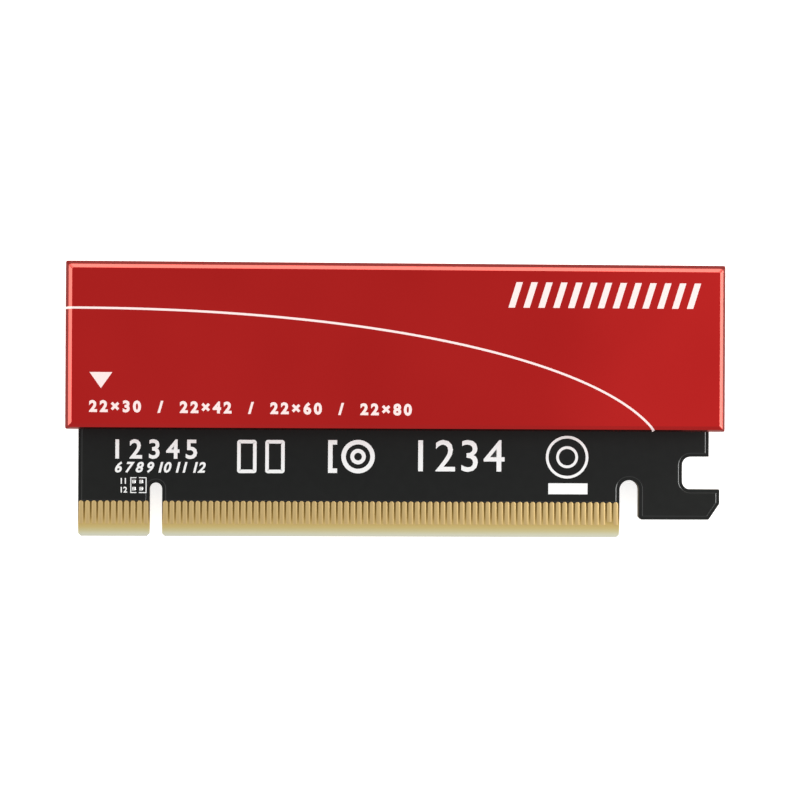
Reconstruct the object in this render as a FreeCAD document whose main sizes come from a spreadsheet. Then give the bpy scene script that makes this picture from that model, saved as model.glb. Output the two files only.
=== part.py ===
import FreeCAD, Part
import math
import os
import Sketcher
from FreeCAD import Placement, Rotation, Vector
from types import SimpleNamespace

# An expansion card for one solid-state memory module. A circuit board with a sixteen-lane
# card edge carries the module's socket and standoff, and a two-piece aluminium clamshell,
# screwed together through the board, covers its upper part.
#
# Frame, in millimetres: X runs along the card edge and Y up from it, both from the middle
# of the key notch at the contact edge. Z runs through the board towards its component side,
# from its solder side. The card lies on its back cover.

SIZES = {
    # Circuit board
    "board_thickness": (1.6, "laminate with its solder masks"),
    "short_tongue_end": (11.95, "key centre to the board's left end"),
    "long_tongue_end": (72.1, "key centre to the long tongue's right end"),
    "tongue_nick": (0.4, "45 degree nick at each lower corner of a tongue"),
    "key_width": (1.95, "key notch, wall to wall"),
    "key_depth": (8.3, "contact edge to the top of the key notch"),
    "relief_width": (3.05, "notch between long tongue and retention leg"),
    "relief_depth": (8.95, "contact edge to the top of that notch"),
    "leg_bottom": (2.8, "contact edge up to the retention leg's lower edge"),
    "leg_nick": (0.4, "nick at the leg's lower left corner"),
    "hook_tip": (87.8, "key centre to the tip of the retention hook"),
    "hook_nick_across": (1.7, "bevel under the hook's tip, across"),
    "hook_nick_up": (2.5, "bevel under the hook's tip, up"),
    "latch_bottom": (7.55, "contact edge to the latch slot's lower wall"),
    "latch_height": (5.1, "latch slot, lower to upper wall"),
    "latch_end": (81.9, "key centre to the latch slot's end wall"),
    "latch_corner": (1.3, "radius in the latch slot's inner corners"),
    "edge_bevel_up": (1.9, "bevel along the contact edge, up the face"),
    "edge_bevel_in": (0.5, "bevel along the contact edge, into the thickness"),
    # Edge contacts
    "contact_pitch": (1.0, "middle to middle"),
    "contact_width": (0.7, "plated strip"),
    "contact_plating": (0.05, "copper and gold above the laminate"),
    "contact_top": (5.45, "contact edge to a strip's rounded top"),
    "contact_key_gap": (1.5, "key centre to the nearest strip's middle"),
    "short_side_contacts": (11, "strips on the short tongue, each face"),
    "long_side_contacts": (71, "strips on the long tongue, each face"),
    "presence_contact_bottom": (2.4, "contact edge to the foot of the short strip"),
    # Clamshell
    "cover_bottom": (16.6, "contact edge to the clamshell's lower wall"),
    "wall": (1.45, "side walls of both covers"),
    "board_gap": (0.15, "board to the wall around it"),
    "end_block": (6.05, "solid end of a cover, outer face to cavity"),
    "bay_height": (5.3, "board to the front cover's inner face"),
    "front_roof": (1.1, "front cover above the bay"),
    "back_floor": (1.2, "back cover below its pocket"),
    "back_pocket": (1.2, "depth of the back cover's pocket"),
    "cover_corner": (0.3, "radius of the upright outer corners"),
    "cover_bevel": (0.55, "45 degree bevel round each outer face"),
    "cover_brow_in": (0.55, "steep facet between bevel and side wall, across"),
    "cover_low_brow_in": (0.3, "the same facet on the lower side, across"),
    "cover_brow_down": (1.1, "steep facet between bevel and side wall, along the wall"),
    # Cover screws
    "screw_inset": (3.45, "cover's outer faces to a screw's axis"),
    "screw_shank": (1.9, "diameter"),
    "screw_head": (3.8, "diameter"),
    "screw_head_height": (1.1, "head under its crown"),
    "screw_reach": (3.4, "shank past the board into the front cover"),
    "screw_tip_room": (0.6, "blind hole beyond the screw's tip"),
    "screw_recess_room": (0.1, "head below the back cover's outer face"),
    "shank_play": (0.15, "shank to hole, on the radius"),
    "thread_play": (0.05, "shank to tapped hole, on the radius"),
    "head_play": (0.2, "head to counterbore, on the radius"),
    "cross_width": (0.5, "driver cross, width of an arm"),
    "cross_span": (2.0, "driver cross, tip to tip"),
    "cross_depth": (0.6, "driver cross, below the head's top"),
    # Module socket
    "socket_end_wall": (0.5, "mouth's end to the socket's end"),
    "socket_depth": (7.4, "wall to mouth, along the module"),
    "socket_height": (4.2, "above the board"),
    "socket_end_gap": (2.2, "end block to the socket's back"),
    "slot_end_room": (0.55, "outermost contact to the mouth's end"),
    "slot_height": (1.3, "mouth for the module's edge, clear"),
    "slot_depth": (4.6, "mouth to its end wall"),
    "slot_floor": (2.2, "board to the mouth's floor"),
    "module_key_rib": (1.0, "thickness of the key rib"),
    "module_key_clear": (1.0, "middle of the key rib to the nearest contact"),
    "peg_diameter": (1.4, "locating pegs under the socket"),
    "peg_length": (1.2, "locating pegs under the socket"),
    "peg_inset": (1.4, "socket's end to a peg's axis"),
    "peg_play": (0.1, "peg to hole, on the radius"),
    "pin_pitch": (0.5, "contacts of one row in the socket"),
    "pin_width": (0.2, "one contact"),
    "pin_metal": (0.12, "thickness of a contact"),
    "pin_foot": (0.6, "contact's foot on the board"),
    "pin_reach": (3.2, "contact inside the mouth"),
    "pins_before_key": (29, "contacts of a row on one side of the rib"),
    "pins_after_key": (5, "contacts of a row on the other side of the rib"),
    "anchor_foot": (0.7, "solder anchor's foot, out from the socket's end"),
    "anchor_room": (0.175, "foot to the bay's wall"),
    "anchor_depth": (3.2, "solder anchor, along the module"),
    "anchor_end_gap": (2.0, "socket's back to the anchor"),
    "anchor_metal": (0.2, "thickness of an anchor"),
    "anchor_height": (2.4, "anchor's upright side"),
    # Module seat
    "module_length": (80.0, "module, edge to screw axis, of the longest module"),
    "module_insertion": (3.4, "module's edge inside the socket's mouth"),
    "module_seat": (2.45, "board to the module's underside"),
    "module_step_first": (30.0, "shorter module's screw axis"),
    "module_step_second": (42.0, "shorter module's screw axis"),
    "module_step_third": (60.0, "shorter module's screw axis"),
    "standoff_collar": (5.4, "diameter above the board"),
    "standoff_room": (0.25, "collar to the bay's end wall"),
    "standoff_stem": (3.0, "diameter through the board"),
    "standoff_stem_length": (1.4, "stem below the board's face"),
    "standoff_bore": (2.0, "tapped bore"),
    "stem_play": (0.1, "stem to hole, on the radius"),
    "module_screw_head": (4.4, "diameter"),
    "module_screw_head_height": (0.9, "above the standoff"),
    "module_screw_reach": (2.6, "shank in the standoff"),
    "screw_crown": (0.4, "radius round the top of each head"),
    # Thermal pads
    "pad_length": (68.0, "along the module"),
    "pad_width": (20.0, "across the module"),
    "pad_thickness": (0.75, "front pad, on the front cover"),
    "pad_end_gap": (2.6, "standoff's axis to the pads' right end"),
    # Chip parts on the board
    "capacitor_length": (2.0, "with its end caps"),
    "capacitor_width": (1.25, "over the end caps"),
    "capacitor_height": (1.2, "over the end caps"),
    "capacitor_pitch": (3.3, "capacitor to capacitor"),
    "capacitor_count": (6, "capacitors in the row"),
    "resistor_length": (1.6, "with its end caps"),
    "resistor_width": (0.8, "over the end caps"),
    "resistor_height": (0.45, "over the end caps"),
    "resistor_count": (2, "resistors in the row"),
    "chip_cap_length": (0.35, "end cap of a chip part"),
    "chip_cap_step": (0.03, "end cap standing proud of the chip"),
    "chip_row_gap": (2.0, "socket's mouth to the capacitors"),
    "chip_column_gap": (0.8, "capacitors to the resistors"),
}

os.makedirs("parts", exist_ok=True)
doc = FreeCAD.newDocument("ExpansionCard")
sheet = doc.addObject("Spreadsheet::Sheet", "Sizes")
for row, (alias, (number, meaning)) in enumerate(SIZES.items(), start=1):
    sheet.set(f"A{row}", alias)
    sheet.set(f"B{row}", str(number))
    sheet.set(f"C{row}", meaning)
    sheet.setAlias(f"B{row}", alias)
doc.recompute()


class Size:
    """A formula of sheet cells, together with the number that it comes to."""

    def __init__(self, formula, value):
        self.formula = formula
        self.value = value

    def join(self, sign, other, value):
        return Size(f"({self.formula} {sign} {other.formula})", value)

    def __add__(self, other):
        other = as_size(other)
        return self.join("+", other, self.value + other.value)

    def __sub__(self, other):
        other = as_size(other)
        return self.join("-", other, self.value - other.value)

    def __mul__(self, other):
        other = as_size(other)
        return self.join("*", other, self.value * other.value)

    def __truediv__(self, other):
        other = as_size(other)
        return self.join("/", other, self.value / other.value)

    def __neg__(self):
        return self * -1

    def __rmul__(self, other):
        return self * other

    def __radd__(self, other):
        return self + other


def as_size(thing):
    return thing if isinstance(thing, Size) else Size(f"{thing}", float(thing))


S = SimpleNamespace(**{name: Size(f"Sizes.{name}", sheet.get(name)) for name in SIZES})

# The socket's length follows its contacts, and the bay's width follows the socket.
stagger = S.pin_pitch / 2
long_reach = S.module_key_clear + stagger + (S.pins_before_key - 1) * S.pin_pitch + S.pin_width
short_reach = S.module_key_clear + stagger + (S.pins_after_key - 1) * S.pin_pitch + S.pin_width
slot_length = long_reach + short_reach + 2 * S.slot_end_room
socket_length = slot_length + 2 * S.socket_end_wall
bay_width = socket_length + 2 * (S.anchor_foot + S.anchor_room)

# Places that several pieces share, from the lower wall up.
board_front = S.board_thickness
bay_bottom = S.cover_bottom + S.wall
bay_top = bay_bottom + bay_width
bay_middle = bay_bottom + bay_width / 2
cover_top = bay_top + S.wall
board_top = bay_top - S.board_gap
key_middle = bay_middle + (long_reach - short_reach) / 2
bay_ceiling = board_front + S.bay_height
front_face = bay_ceiling + S.front_roof
back_face = -S.back_pocket - S.back_floor
screw_seat = back_face + S.screw_recess_room + S.screw_head_height
slot_floor = board_front + S.slot_floor
slot_ceiling = slot_floor + S.slot_height

# Places from the left end to the right. The module and its standoff set the card's length.
board_left = -S.short_tongue_end
cover_left = board_left - S.board_gap - S.wall
bay_left = cover_left + S.end_block
socket_back = bay_left + S.socket_end_gap
socket_mouth = socket_back + S.socket_depth
slot_end = socket_mouth - S.slot_depth
module_edge = socket_mouth - S.module_insertion
standoff_x = module_edge + S.module_length
pad_left = standoff_x - S.pad_end_gap - S.pad_length
bay_right = standoff_x + S.standoff_collar / 2 + S.standoff_room
cover_right = bay_right + S.end_block
board_right = cover_right - S.wall - S.board_gap
screw_places = [
    (x, y)
    for x in (cover_left + S.screw_inset, cover_right - S.screw_inset)
    for y in (S.cover_bottom + S.screw_inset, cover_top - S.screw_inset)
]


def bind(thing, path, size):
    """Tie a property to its formula."""
    thing.setExpression(path, as_size(size).formula)


def new_body(label):
    """A sub-part made of features. Its result may be several separate solids."""
    body = doc.addObject("PartDesign::Body", label)
    body.Label = label
    body.AllowCompound = True
    return body


def new_sketch(body, name, plane="XY_Plane", height=0):
    """An empty sketch on one of the body's own planes, lifted off it by a height."""
    sketch = body.newObject("Sketcher::SketchObject", name)
    flat = next(item for item in body.Origin.OriginFeatures if item.Role == plane)
    sketch.AttachmentSupport = [(flat, "")]
    sketch.MapMode = "FlatFace"
    sketch.AttachmentOffset = Placement(Vector(0, 0, as_size(height).value), Rotation())
    bind(sketch, "AttachmentOffset.Base.z", height)
    return sketch


def pin_point(sketch, element, point, x=None, y=None):
    """Dimension a point of a sketch element from the sketch's origin."""
    for direction, place in (("DistanceX", x), ("DistanceY", y)):
        if place is not None:
            place = as_size(place)
            number = sketch.addConstraint(Sketcher.Constraint(direction, element, point, place.value))
            bind(sketch, f"Constraints[{number}]", place)


def bend(x, y, clockwise=False):
    """The middle of an arc between the two corners on either side of it in an outline."""
    return SimpleNamespace(x=as_size(x), y=as_size(y), clockwise=clockwise)


def draw_outline(sketch, path):
    """A closed outline through corners (x, y), straight except where a bend stands between."""
    stations = [index for index, item in enumerate(path) if isinstance(item, tuple)]
    ends = []
    for turn, index in enumerate(stations):
        here = tuple(as_size(place) for place in path[index])
        there = tuple(as_size(place) for place in path[stations[(turn + 1) % len(stations)]])
        start = Vector(here[0].value, here[1].value, 0)
        finish = Vector(there[0].value, there[1].value, 0)
        following = path[(index + 1) % len(path)]
        if isinstance(following, tuple):
            element = sketch.addGeometry(Part.LineSegment(start, finish))
            first, last = 1, 2
        else:
            middle = Vector(following.x.value, following.y.value, 0)
            angles = [math.atan2(point.y - middle.y, point.x - middle.x) for point in (start, finish)]
            first, last = (2, 1) if following.clockwise else (1, 2)
            angles = angles[::-1] if following.clockwise else angles
            circle = Part.Circle(middle, Vector(0, 0, 1), (start - middle).Length)
            element = sketch.addGeometry(Part.ArcOfCircle(circle, *angles))
            chord = finish - start
            if abs(chord.x) >= abs(chord.y):
                pin_point(sketch, element, 3, y=following.y)
            else:
                pin_point(sketch, element, 3, x=following.x)
        pin_point(sketch, element, first, *here)
        ends.append((element, first, last))
    for (element, _, last), (neighbour, first, _) in zip(ends, ends[1:] + ends[:1]):
        sketch.addConstraint(Sketcher.Constraint("Coincident", element, last, neighbour, first))


def draw_rectangle(sketch, left, bottom, right, top):
    draw_outline(sketch, [(left, bottom), (right, bottom), (right, top), (left, top)])


def draw_circle(sketch, x, y, diameter):
    x, y, diameter = as_size(x), as_size(y), as_size(diameter)
    circle = Part.Circle(Vector(x.value, y.value, 0), Vector(0, 0, 1), diameter.value / 2)
    element = sketch.addGeometry(circle)
    pin_point(sketch, element, 3, x, y)
    number = sketch.addConstraint(Sketcher.Constraint("Diameter", element, diameter.value))
    bind(sketch, f"Constraints[{number}]", diameter)


def pad(body, name, sketch, length):
    """Material from the sketch along its plane's normal."""
    feature = body.newObject("PartDesign::Pad", name)
    feature.Profile = sketch
    bind(feature, "Length", length)
    doc.recompute()
    return feature


def pocket(body, name, sketch, depth):
    """A cut from the sketch along its plane's normal."""
    before = body.Shape.Volume
    feature = body.newObject("PartDesign::Pocket", name)
    feature.Profile = sketch
    feature.Reversed = True
    bind(feature, "Length", depth)
    doc.recompute()
    if not body.Shape.Volume < before:
        raise RuntimeError(f"{body.Label}: {name} cuts nothing")
    return feature


def pattern(body, name, original, count, pitch, axis="X_Axis"):
    """Copies of a feature in a row along one of the body's own axes."""
    feature = body.newObject("PartDesign::LinearPattern", name)
    feature.Originals = [original]
    line = next(item for item in body.Origin.OriginFeatures if item.Role == axis)
    feature.Direction = (line, [""])
    bind(feature, "Occurrences", count)
    bind(feature, "Length", (count - 1) * pitch)
    body.Tip = feature
    doc.recompute()
    return feature


def cover_outline(sketch, inset, low_inset):
    """The clamshell's outline with its rounded corners, drawn in from the side walls."""
    corner = S.cover_corner
    left, right = cover_left + inset, cover_right - inset
    bottom, top = S.cover_bottom + low_inset, cover_top - inset
    draw_outline(sketch, [
        (left + corner, bottom), (right - corner, bottom),
        bend(right - corner, bottom + corner),
        (right, bottom + corner), (right, top - corner),
        bend(right - corner, top - corner),
        (right - corner, top), (left + corner, top),
        bend(left + corner, top - corner),
        (left, top - corner), (left, bottom + corner),
        bend(left + corner, bottom + corner),
    ])


def cover_block(body, face, inward):
    """The solid that a cover is milled from: upright walls from the parting plane, then a
    steep facet and a 45 degree bevel round the outer face."""
    brow, low_brow, bevel = S.cover_brow_in, S.cover_low_brow_in, S.cover_bevel
    stages = (
        (0, 0, 0),
        (face + inward * (bevel + S.cover_brow_down), 0, 0),
        (face + inward * bevel, brow, low_brow),
        (face, brow + bevel, low_brow + bevel),
    )
    sections = []
    for number, (height, inset, low_inset) in enumerate(stages, start=1):
        section = new_sketch(body, f"{body.Label}_section_{number}", height=height)
        cover_outline(section, inset, low_inset)
        sections.append(section)
    block = body.newObject("PartDesign::AdditiveLoft", f"{body.Label}_block")
    block.Profile = sections[0]
    block.Sections = sections[1:]
    block.Ruled = True
    doc.recompute()


def make_front_cover():
    """Milled aluminium tray over the component side. Its walls pass the board's ends and
    top down to the back cover, and its lower wall stands on the board."""
    body = new_body("front_cover")
    cover_block(body, front_face, inward=-1)
    recess = new_sketch(body, "board_recess_outline")
    left = board_left - S.board_gap
    right = board_right + S.board_gap
    below = S.cover_bottom - S.wall
    draw_rectangle(recess, left, below, right, bay_top)
    pocket(body, "board_recess", recess, board_front)
    bay = new_sketch(body, "module_bay_outline", height=board_front)
    draw_rectangle(bay, bay_left, bay_bottom, bay_right, bay_top)
    pocket(body, "module_bay", bay, S.bay_height)
    holes = new_sketch(body, "tapped_hole_outlines", height=board_front)
    for x, y in screw_places:
        draw_circle(holes, x, y, S.screw_shank + 2 * S.thread_play)
    pocket(body, "tapped_holes", holes, S.screw_reach + S.screw_tip_room)
    return body


def make_back_cover():
    """Milled aluminium tray under the solder side, with counterbored screw holes."""
    body = new_body("back_cover")
    cover_block(body, back_face, inward=1)
    hollow = new_sketch(body, "back_pocket_outline", height=-S.back_pocket)
    draw_rectangle(hollow, bay_left, bay_bottom, bay_right, bay_top)
    pocket(body, "back_pocket", hollow, S.back_pocket)
    holes = new_sketch(body, "screw_hole_outlines", height=back_face)
    recesses = new_sketch(body, "screw_recess_outlines", height=back_face)
    for x, y in screw_places:
        draw_circle(holes, x, y, S.screw_shank + 2 * S.shank_play)
        draw_circle(recesses, x, y, S.screw_head + 2 * S.head_play)
    pocket(body, "screw_holes", holes, -back_face)
    pocket(body, "screw_recesses", recesses, screw_seat - back_face)
    return body


def make_circuit_board():
    """The laminate: two tongues with a key notch between them, the retention leg with its
    hook and latch slot, and the plain rectangle above that the clamshell holds."""
    body = new_body("circuit_board")
    outline = new_sketch(body, "board_outline")
    nick, leg_nick = S.tongue_nick, S.leg_nick
    key_side, key_middle = S.key_width / 2, S.key_depth - S.key_width / 2
    leg_left = S.long_tongue_end + S.relief_width
    relief_middle = S.long_tongue_end + S.relief_width / 2
    relief_spring = S.relief_depth - S.relief_width / 2
    latch_top = S.latch_bottom + S.latch_height
    corner = S.latch_corner
    draw_outline(outline, [
        (board_left, nick), (board_left + nick, 0),
        (-key_side - nick, 0), (-key_side, nick), (-key_side, key_middle),
        bend(0, key_middle, clockwise=True),
        (key_side, key_middle), (key_side, nick), (key_side + nick, 0),
        (S.long_tongue_end - nick, 0), (S.long_tongue_end, nick),
        (S.long_tongue_end, relief_spring),
        bend(relief_middle, relief_spring, clockwise=True),
        (leg_left, relief_spring), (leg_left, S.leg_bottom + leg_nick),
        (leg_left + leg_nick, S.leg_bottom),
        (S.hook_tip - S.hook_nick_across, S.leg_bottom),
        (S.hook_tip, S.leg_bottom + S.hook_nick_up), (S.hook_tip, S.latch_bottom),
        (S.latch_end + corner, S.latch_bottom),
        bend(S.latch_end + corner, S.latch_bottom + corner, clockwise=True),
        (S.latch_end, S.latch_bottom + corner), (S.latch_end, latch_top - corner),
        bend(S.latch_end + corner, latch_top - corner, clockwise=True),
        (S.latch_end + corner, latch_top), (board_right, latch_top),
        (board_right, board_top), (board_left, board_top),
    ])
    pad(body, "laminate", outline, S.board_thickness)
    bevels = new_sketch(body, "contact_edge_bevels", "YZ_Plane", board_left)
    rise, depth, front = S.edge_bevel_up, S.edge_bevel_in, S.board_thickness
    draw_outline(bevels, [(0, 0), (rise, 0), (0, depth)])
    draw_outline(bevels, [(0, front - depth), (rise, front), (0, front)])
    pocket(body, "contact_edge_bevel", bevels, S.long_tongue_end - board_left)
    holes = new_sketch(body, "board_hole_outlines")
    for x, y in screw_places:
        draw_circle(holes, x, y, S.screw_shank + 2 * S.shank_play)
    steps = (S.module_step_first, S.module_step_second, S.module_step_third, S.module_length)
    for step in steps:
        draw_circle(holes, module_edge + step, bay_middle, S.standoff_stem + 2 * S.stem_play)
    for side in (-1, 1):
        y = bay_middle + side * (socket_length / 2 - S.peg_inset)
        draw_circle(holes, socket_back + S.socket_depth / 2, y, S.peg_diameter + 2 * S.peg_play)
    pocket(body, "board_holes", holes, S.board_thickness)
    return body


def draw_contact(sketch, x, bottom):
    """One edge contact: a strip with a rounded top."""
    half = S.contact_width / 2
    shoulder = S.contact_top - half
    draw_outline(sketch, [
        (x - half, bottom), (x + half, bottom), (x + half, shoulder),
        bend(x, shoulder), (x - half, shoulder),
    ])


def make_edge_contacts(label, height, short_place):
    """The plated strips of one face. The strip that senses whether the card is seated is
    shorter at its foot than the others: last but one on the component side, and first on
    the solder side."""
    body = new_body(label)
    first_left = -S.contact_key_gap - (S.short_side_contacts - 1) * S.contact_pitch
    full_left = S.short_side_contacts
    if short_place == "first":
        sketch = new_sketch(body, f"{label}_short_strip", height=height)
        draw_contact(sketch, first_left, S.presence_contact_bottom)
        pad(body, f"{label}_presence", sketch, S.contact_plating)
        first_left = first_left + S.contact_pitch
        full_left = full_left - 1
    sketch = new_sketch(body, f"{label}_left_strip", height=height)
    draw_contact(sketch, first_left, S.edge_bevel_up)
    strip = pad(body, f"{label}_left", sketch, S.contact_plating)
    pattern(body, f"{label}_left_row", strip, full_left, S.contact_pitch)
    full_right = S.long_side_contacts
    if short_place == "last but one":
        last = S.contact_key_gap + (S.long_side_contacts - 1) * S.contact_pitch
        sketch = new_sketch(body, f"{label}_end_strips", height=height)
        draw_contact(sketch, last - S.contact_pitch, S.presence_contact_bottom)
        draw_contact(sketch, last, S.edge_bevel_up)
        pad(body, f"{label}_presence", sketch, S.contact_plating)
        full_right = full_right - 2
    sketch = new_sketch(body, f"{label}_right_strip", height=height)
    draw_contact(sketch, S.contact_key_gap, S.edge_bevel_up)
    strip = pad(body, f"{label}_right", sketch, S.contact_plating)
    pattern(body, f"{label}_right_row", strip, full_right, S.contact_pitch)
    return body


def make_socket_housing():
    """The module socket's moulding: a block with a mouth for the module's edge, a key rib
    across the mouth, slits for both rows of contacts, and two pegs that locate it."""
    body = new_body("m2_socket_housing")
    low, high = bay_middle - socket_length / 2, bay_middle + socket_length / 2
    block = new_sketch(body, "socket_outline", height=board_front)
    draw_rectangle(block, socket_back, low, socket_mouth, high)
    pad(body, "socket_block", block, S.socket_height)
    mouth = new_sketch(body, "socket_mouth_outline", height=slot_floor)
    slot_low, slot_high = bay_middle - slot_length / 2, bay_middle + slot_length / 2
    rib_low, rib_high = key_middle - S.module_key_rib / 2, key_middle + S.module_key_rib / 2
    draw_rectangle(mouth, slot_end, slot_low, socket_mouth, rib_low)
    draw_rectangle(mouth, slot_end, rib_high, socket_mouth, slot_high)
    pocket(body, "socket_mouth", mouth, S.slot_height)
    for name, height in (("lower", slot_floor), ("upper", slot_ceiling - S.pin_metal)):
        slits = new_sketch(body, f"{name}_slit_outline", height=height)
        draw_rectangle(slits, socket_back, slot_low, slot_end, rib_low)
        draw_rectangle(slits, socket_back, rib_high, slot_end, slot_high)
        pocket(body, f"{name}_slits", slits, S.pin_metal)
    pegs = new_sketch(body, "peg_outlines", height=board_front - S.peg_length)
    for side in (-1, 1):
        y = bay_middle + side * (socket_length / 2 - S.peg_inset)
        draw_circle(pegs, socket_back + S.socket_depth / 2, y, S.peg_diameter)
    pad(body, "locating_pegs", pegs, S.peg_length)
    return body


def make_socket_contacts():
    """Two rows of bent strips. Each strip lies along the mouth, passes through the socket's
    back wall and turns down to a foot on the board."""
    body = new_body("m2_socket_contacts")
    metal = S.pin_metal
    reach = slot_end + S.pin_reach
    rows = (
        ("lower", slot_floor, socket_back - metal, 0),
        ("upper", slot_ceiling - metal, socket_back - S.pin_foot - 2 * metal, stagger),
    )
    for name, height, drop, shift in rows:
        groups = (
            ("long", key_middle - S.module_key_clear - shift, S.pins_before_key, True),
            ("short", key_middle + S.module_key_clear + S.pin_width + shift, S.pins_after_key, False),
        )
        for group, start, count, backward in groups:
            side = new_sketch(body, f"{name}_{group}_profile", "XZ_Plane", -start)
            foot = drop - S.pin_foot + metal
            draw_outline(side, [
                (foot, board_front), (drop + metal, board_front), (drop + metal, height),
                (reach, height), (reach, height + metal), (drop, height + metal),
                (drop, board_front + metal), (foot, board_front + metal),
            ])
            strip = pad(body, f"{name}_{group}_pin", side, S.pin_width)
            row = pattern(body, f"{name}_{group}_row", strip, count, S.pin_pitch, "Y_Axis")
            row.Reversed = backward
            doc.recompute()
    return body


def make_socket_anchor(label, side):
    """A solder anchor: an angle of sheet metal on one end of the socket, foot outwards."""
    body = new_body(label)
    profile = new_sketch(body, f"{label}_profile", "YZ_Plane", socket_back + S.anchor_end_gap)
    end = bay_middle + side * socket_length / 2
    skin = end + side * S.anchor_metal
    toe = end + side * S.anchor_foot
    top = board_front + S.anchor_height
    step = board_front + S.anchor_metal
    draw_outline(profile, [
        (end, board_front), (toe, board_front), (toe, step), (skin, step), (skin, top), (end, top),
    ])
    pad(body, f"{label}_angle", profile, S.anchor_depth)
    return body


def make_standoff():
    """The turned brass seat for the module's screw, its stem swaged into the board."""
    body = new_body("m2_standoff")
    parts = (
        ("collar", S.standoff_collar, board_front, S.module_seat),
        ("stem", S.standoff_stem, board_front - S.standoff_stem_length, S.standoff_stem_length),
    )
    for name, diameter, height, length in parts:
        ring = new_sketch(body, f"standoff_{name}_outline", height=height)
        draw_circle(ring, standoff_x, bay_middle, diameter)
        draw_circle(ring, standoff_x, bay_middle, S.standoff_bore)
        pad(body, f"standoff_{name}", ring, length)
    return body


def make_screw(label, head, head_height, reach, place, head_down=False):
    """A cross-head screw. It is drawn on its own axis, with the head seated at its origin,
    and then moved to its hole."""
    body = new_body(label)
    seat = new_sketch(body, f"{label}_head_outline")
    draw_circle(seat, 0, 0, head)
    pad(body, f"{label}_head", seat, head_height)
    brim = body.Tip
    rim = next(
        f"Edge{number}"
        for number, edge in enumerate(brim.Shape.Edges, start=1)
        if all(abs(corner.Z - head_height.value) < 1e-6 for corner in edge.Vertexes)
    )
    crown = body.newObject("PartDesign::Fillet", f"{label}_crown")
    crown.Base = (brim, [rim])
    bind(crown, "Radius", S.screw_crown)
    body.Tip = crown
    doc.recompute()
    arm, tip = S.cross_width / 2, S.cross_span / 2
    cross = new_sketch(body, f"{label}_cross_outline", height=head_height - S.cross_depth)
    draw_outline(cross, [
        (-tip, -arm), (-arm, -arm), (-arm, -tip), (arm, -tip), (arm, -arm), (tip, -arm),
        (tip, arm), (arm, arm), (arm, tip), (-arm, tip), (-arm, arm), (-tip, arm),
    ])
    pocket(body, f"{label}_cross", cross, S.cross_depth)
    stem = new_sketch(body, f"{label}_shank_outline", height=-reach)
    draw_circle(stem, 0, 0, S.screw_shank)
    pad(body, f"{label}_shank", stem, reach)
    turn = Rotation(Vector(1, 0, 0), 180 if head_down else 0)
    body.Placement = Placement(Vector(*(as_size(item).value for item in place)), turn)
    for direction, item in zip("xyz", place):
        bind(body, f"Placement.Base.{direction}", item)
    return body


def make_block(label, corner, length, width, height):
    """A plain block with its sizes and its lower corner tied to the sheet."""
    block = doc.addObject("Part::Box", label)
    block.Label = label
    for name, size in (("Length", length), ("Width", width), ("Height", height)):
        bind(block, name, size)
    for direction, item in zip("xyz", corner):
        bind(block, f"Placement.Base.{direction}", item)
    doc.recompute()
    return block


def make_chip(label, left, middle, length, width, height):
    """A surface-mounted chip part: a ceramic block between two plated end caps."""
    cap, step = S.chip_cap_length, S.chip_cap_step
    low = middle - width / 2
    core = make_block(
        f"{label}_core", (left + step, low + step, board_front + step),
        length - 2 * step, width - 2 * step, height - 2 * step)
    ends = [
        make_block(f"{label}_{name}", (x, low, board_front), cap, width, height)
        for name, x in (("near_cap", left), ("far_cap", left + length - cap))
    ]
    chip = doc.addObject("Part::MultiFuse", label)
    chip.Label = label
    chip.Shapes = [core, *ends]
    chip.Refine = True
    doc.recompute()
    return chip


pieces = [
    make_front_cover(),
    make_back_cover(),
    make_circuit_board(),
    make_edge_contacts("edge_contacts_front", board_front, "last but one"),
    make_edge_contacts("edge_contacts_back", -S.contact_plating, "first"),
    make_socket_housing(),
    make_socket_contacts(),
    make_socket_anchor("m2_socket_anchor_lower", -1),
    make_socket_anchor("m2_socket_anchor_upper", 1),
    make_standoff(),
    make_screw(
        "m2_screw", S.module_screw_head, S.module_screw_head_height, S.module_screw_reach,
        (standoff_x, bay_middle, board_front + S.module_seat)),
    make_block(
        "thermal_pad_front", (pad_left, bay_middle - S.pad_width / 2, bay_ceiling - S.pad_thickness),
        S.pad_length, S.pad_width, S.pad_thickness),
    make_block(
        "thermal_pad_back", (pad_left, bay_middle - S.pad_width / 2, -S.back_pocket),
        S.pad_length, S.pad_width, S.back_pocket),
]
for number, (x, y) in enumerate(screw_places, start=1):
    pieces.append(make_screw(
        f"cover_screw_{number}", S.screw_head, S.screw_head_height,
        -screw_seat + board_front + S.screw_reach, (x, y, screw_seat), head_down=True))
capacitor_left = socket_mouth + S.chip_row_gap
capacitor_low = bay_middle - (S.capacitor_count - 1) * S.capacitor_pitch / 2
for number in range(int(S.capacitor_count.value)):
    pieces.append(make_chip(
        f"capacitor_{number + 1}", capacitor_left, capacitor_low + number * S.capacitor_pitch,
        S.capacitor_length, S.capacitor_width, S.capacitor_height))
resistor_left = capacitor_left + S.capacitor_length + S.chip_column_gap
resistor_low = bay_middle - (S.resistor_count - 1) * S.capacitor_pitch / 2
for number in range(int(S.resistor_count.value)):
    pieces.append(make_chip(
        f"resistor_{number + 1}", resistor_left, resistor_low + number * S.capacitor_pitch,
        S.resistor_length, S.resistor_width, S.resistor_height))

doc.recompute()
for item in doc.Objects:
    if "Invalid" in item.State or "Error" in item.State:
        raise RuntimeError(f"{item.Label} failed to build")
for piece in pieces:
    if piece.Shape.isNull() or not piece.Shape.isValid():
        raise RuntimeError(f"{piece.Label} has no valid shape")
for piece in pieces:
    piece.Shape.exportStep(f"parts/{piece.Label}.step")
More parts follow.
